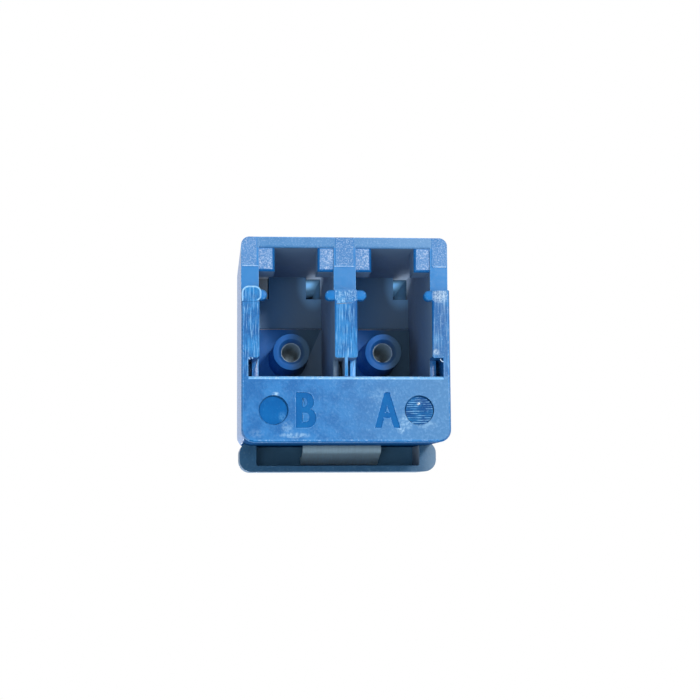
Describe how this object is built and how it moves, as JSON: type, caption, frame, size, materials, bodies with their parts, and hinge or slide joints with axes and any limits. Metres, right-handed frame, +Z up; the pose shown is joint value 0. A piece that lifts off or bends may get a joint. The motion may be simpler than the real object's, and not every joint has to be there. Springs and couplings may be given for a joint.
{
  "type": "duplex fibre adapter",
  "caption": "Blue snap-in duplex fibre adapter: plug ports at front and back with latch shoulders, marking block, split sleeves, hollow lug with steel leaf.",
  "frame": {"origin": "on the lug's front face, where it meets the underside of the body, on the centre plane between the two ports", "axes": "+X to the right of someone facing the front ports, +Y from the front ports to the rear ports, +Z up, from the lug towards the latch side"},
  "size_m": [0.0134, 0.0267, 0.0157],
  "materials": {
    "blue_front": "moulded blue plastic, fine spark texture on the face and a satin shine inside",
    "blue_rear": "moulded blue plastic, satin",
    "zirconia": "ground white ceramic",
    "leaf_steel": "cold-rolled spring strip"
  },
  "bodies": {
    "root": {"front_housing": "blue_front", "rear_housing": "blue_rear", "split_sleeve_a": "zirconia", "split_sleeve_b": "zirconia", "spring_leaf": "leaf_steel"}
  },
  "joints": []
}
